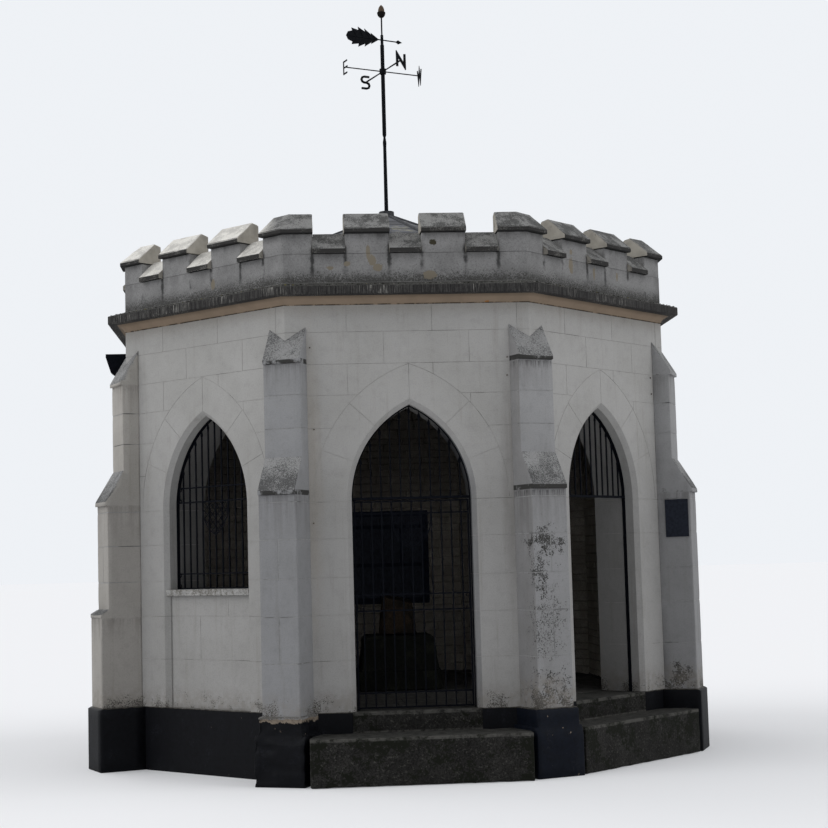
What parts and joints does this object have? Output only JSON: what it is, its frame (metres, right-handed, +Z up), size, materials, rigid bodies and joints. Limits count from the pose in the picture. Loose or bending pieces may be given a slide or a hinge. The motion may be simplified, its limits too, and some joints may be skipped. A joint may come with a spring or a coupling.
{
  "type": "octagonal gothic market shelter with weathervane",
  "caption": "Eight-sided battlemented stone shelter over an old cross stump, with pointed doorways, wrought-iron gates, a barred window, stepped buttresses, slate roof and oak-leaf weathervane.",
  "frame": {"origin": "centre of the octagon at the lowest ground level, under the floor", "axes": "+Z up along the weathervane's pole; -Y out through the front gate; +X to the right as seen from the front"},
  "size_m": [6.6165, 6.6722, 8.589],
  "materials": {
    "stucco": "matt lime render, damp-stained",
    "dressings": "matt, weathered and lichened",
    "granite": "rough",
    "paving": "worn",
    "slate": "matt",
    "lead": "dull grey lead",
    "ironwork": "semi-gloss dark blue-black paint",
    "blue_panel": "satin",
    "old_stone": "rough",
    "vane_metal": "semi-gloss black paint",
    "acorn_metal": "worn bronze paint"
  },
  "bodies": {
    "building": {"wall_right": "stucco", "wall_back_right": "stucco", "wall_back": "stucco", "wall_back_left": "stucco", "wall_left": "stucco", "front_pier_left": "stucco", "front_pier_right": "stucco", "front_arch_wall": "stucco", "doorway_pier_left": "stucco", "doorway_pier_right": "stucco", "doorway_arch_wall": "stucco", "window_pier_left": "stucco", "window_pier_right": "stucco", "window_arch_wall": "stucco", "window_apron": "stucco", "parapet_wall": "stucco", "merlons": "stucco", "buttress_front_left": "stucco", "buttress_front_right": "stucco", "buttress_right_front": "stucco", "buttress_right_back": "stucco", "buttress_back_right": "stucco", "buttress_back_left": "stucco", "buttress_left_back": "stucco", "buttress_left_front": "stucco", "cornice": "dressings", "crenel_copings": "dressings", "merlon_copings": "dressings", "window_sill": "dressings", "thresholds": "granite", "lower_steps": "granite", "floor": "paving", "roof": "slate", "roof_leadwork": "lead", "window_grille": "ironwork", "front_gate_head": "ironwork", "doorway_gate_head": "ironwork", "gate_jambs": "ironwork", "gate_bearings": "ironwork", "rainwater_hopper": "ironwork", "downpipe": "ironwork", "information_board": "blue_panel", "wall_plaque": "blue_panel", "cross_socket": "old_stone", "cross_shaft": "old_stone", "vane_pole": "vane_metal", "cardinal_arms": "vane_metal", "acorn_finial": "acorn_metal"},
    "front_gate": {"front_gate_leaf": "ironwork"},
    "doorway_gate": {"doorway_gate_leaf": "ironwork"},
    "weathervane": {"vane_arrow": "vane_metal"}
  },
  "joints": [
    {"name": "front_gate_hinge", "type": "hinge", "parent": "building", "child": "front_gate", "pos_m": [-0.5577, -2.7425, 0.65], "axis": [0, 0, 1], "range_deg": [0, 90]},
    {"name": "doorway_gate_hinge", "type": "hinge", "parent": "building", "child": "doorway_gate", "pos_m": [1.54489, -2.33359, 0.65], "axis": [0, 0, 1], "range_deg": [-90, 0]},
    {"name": "vane_turn", "type": "hinge", "parent": "building", "child": "weathervane", "pos_m": [0, 0, 8.168], "axis": [0, 0, 1], "continuous": true}
  ]
}
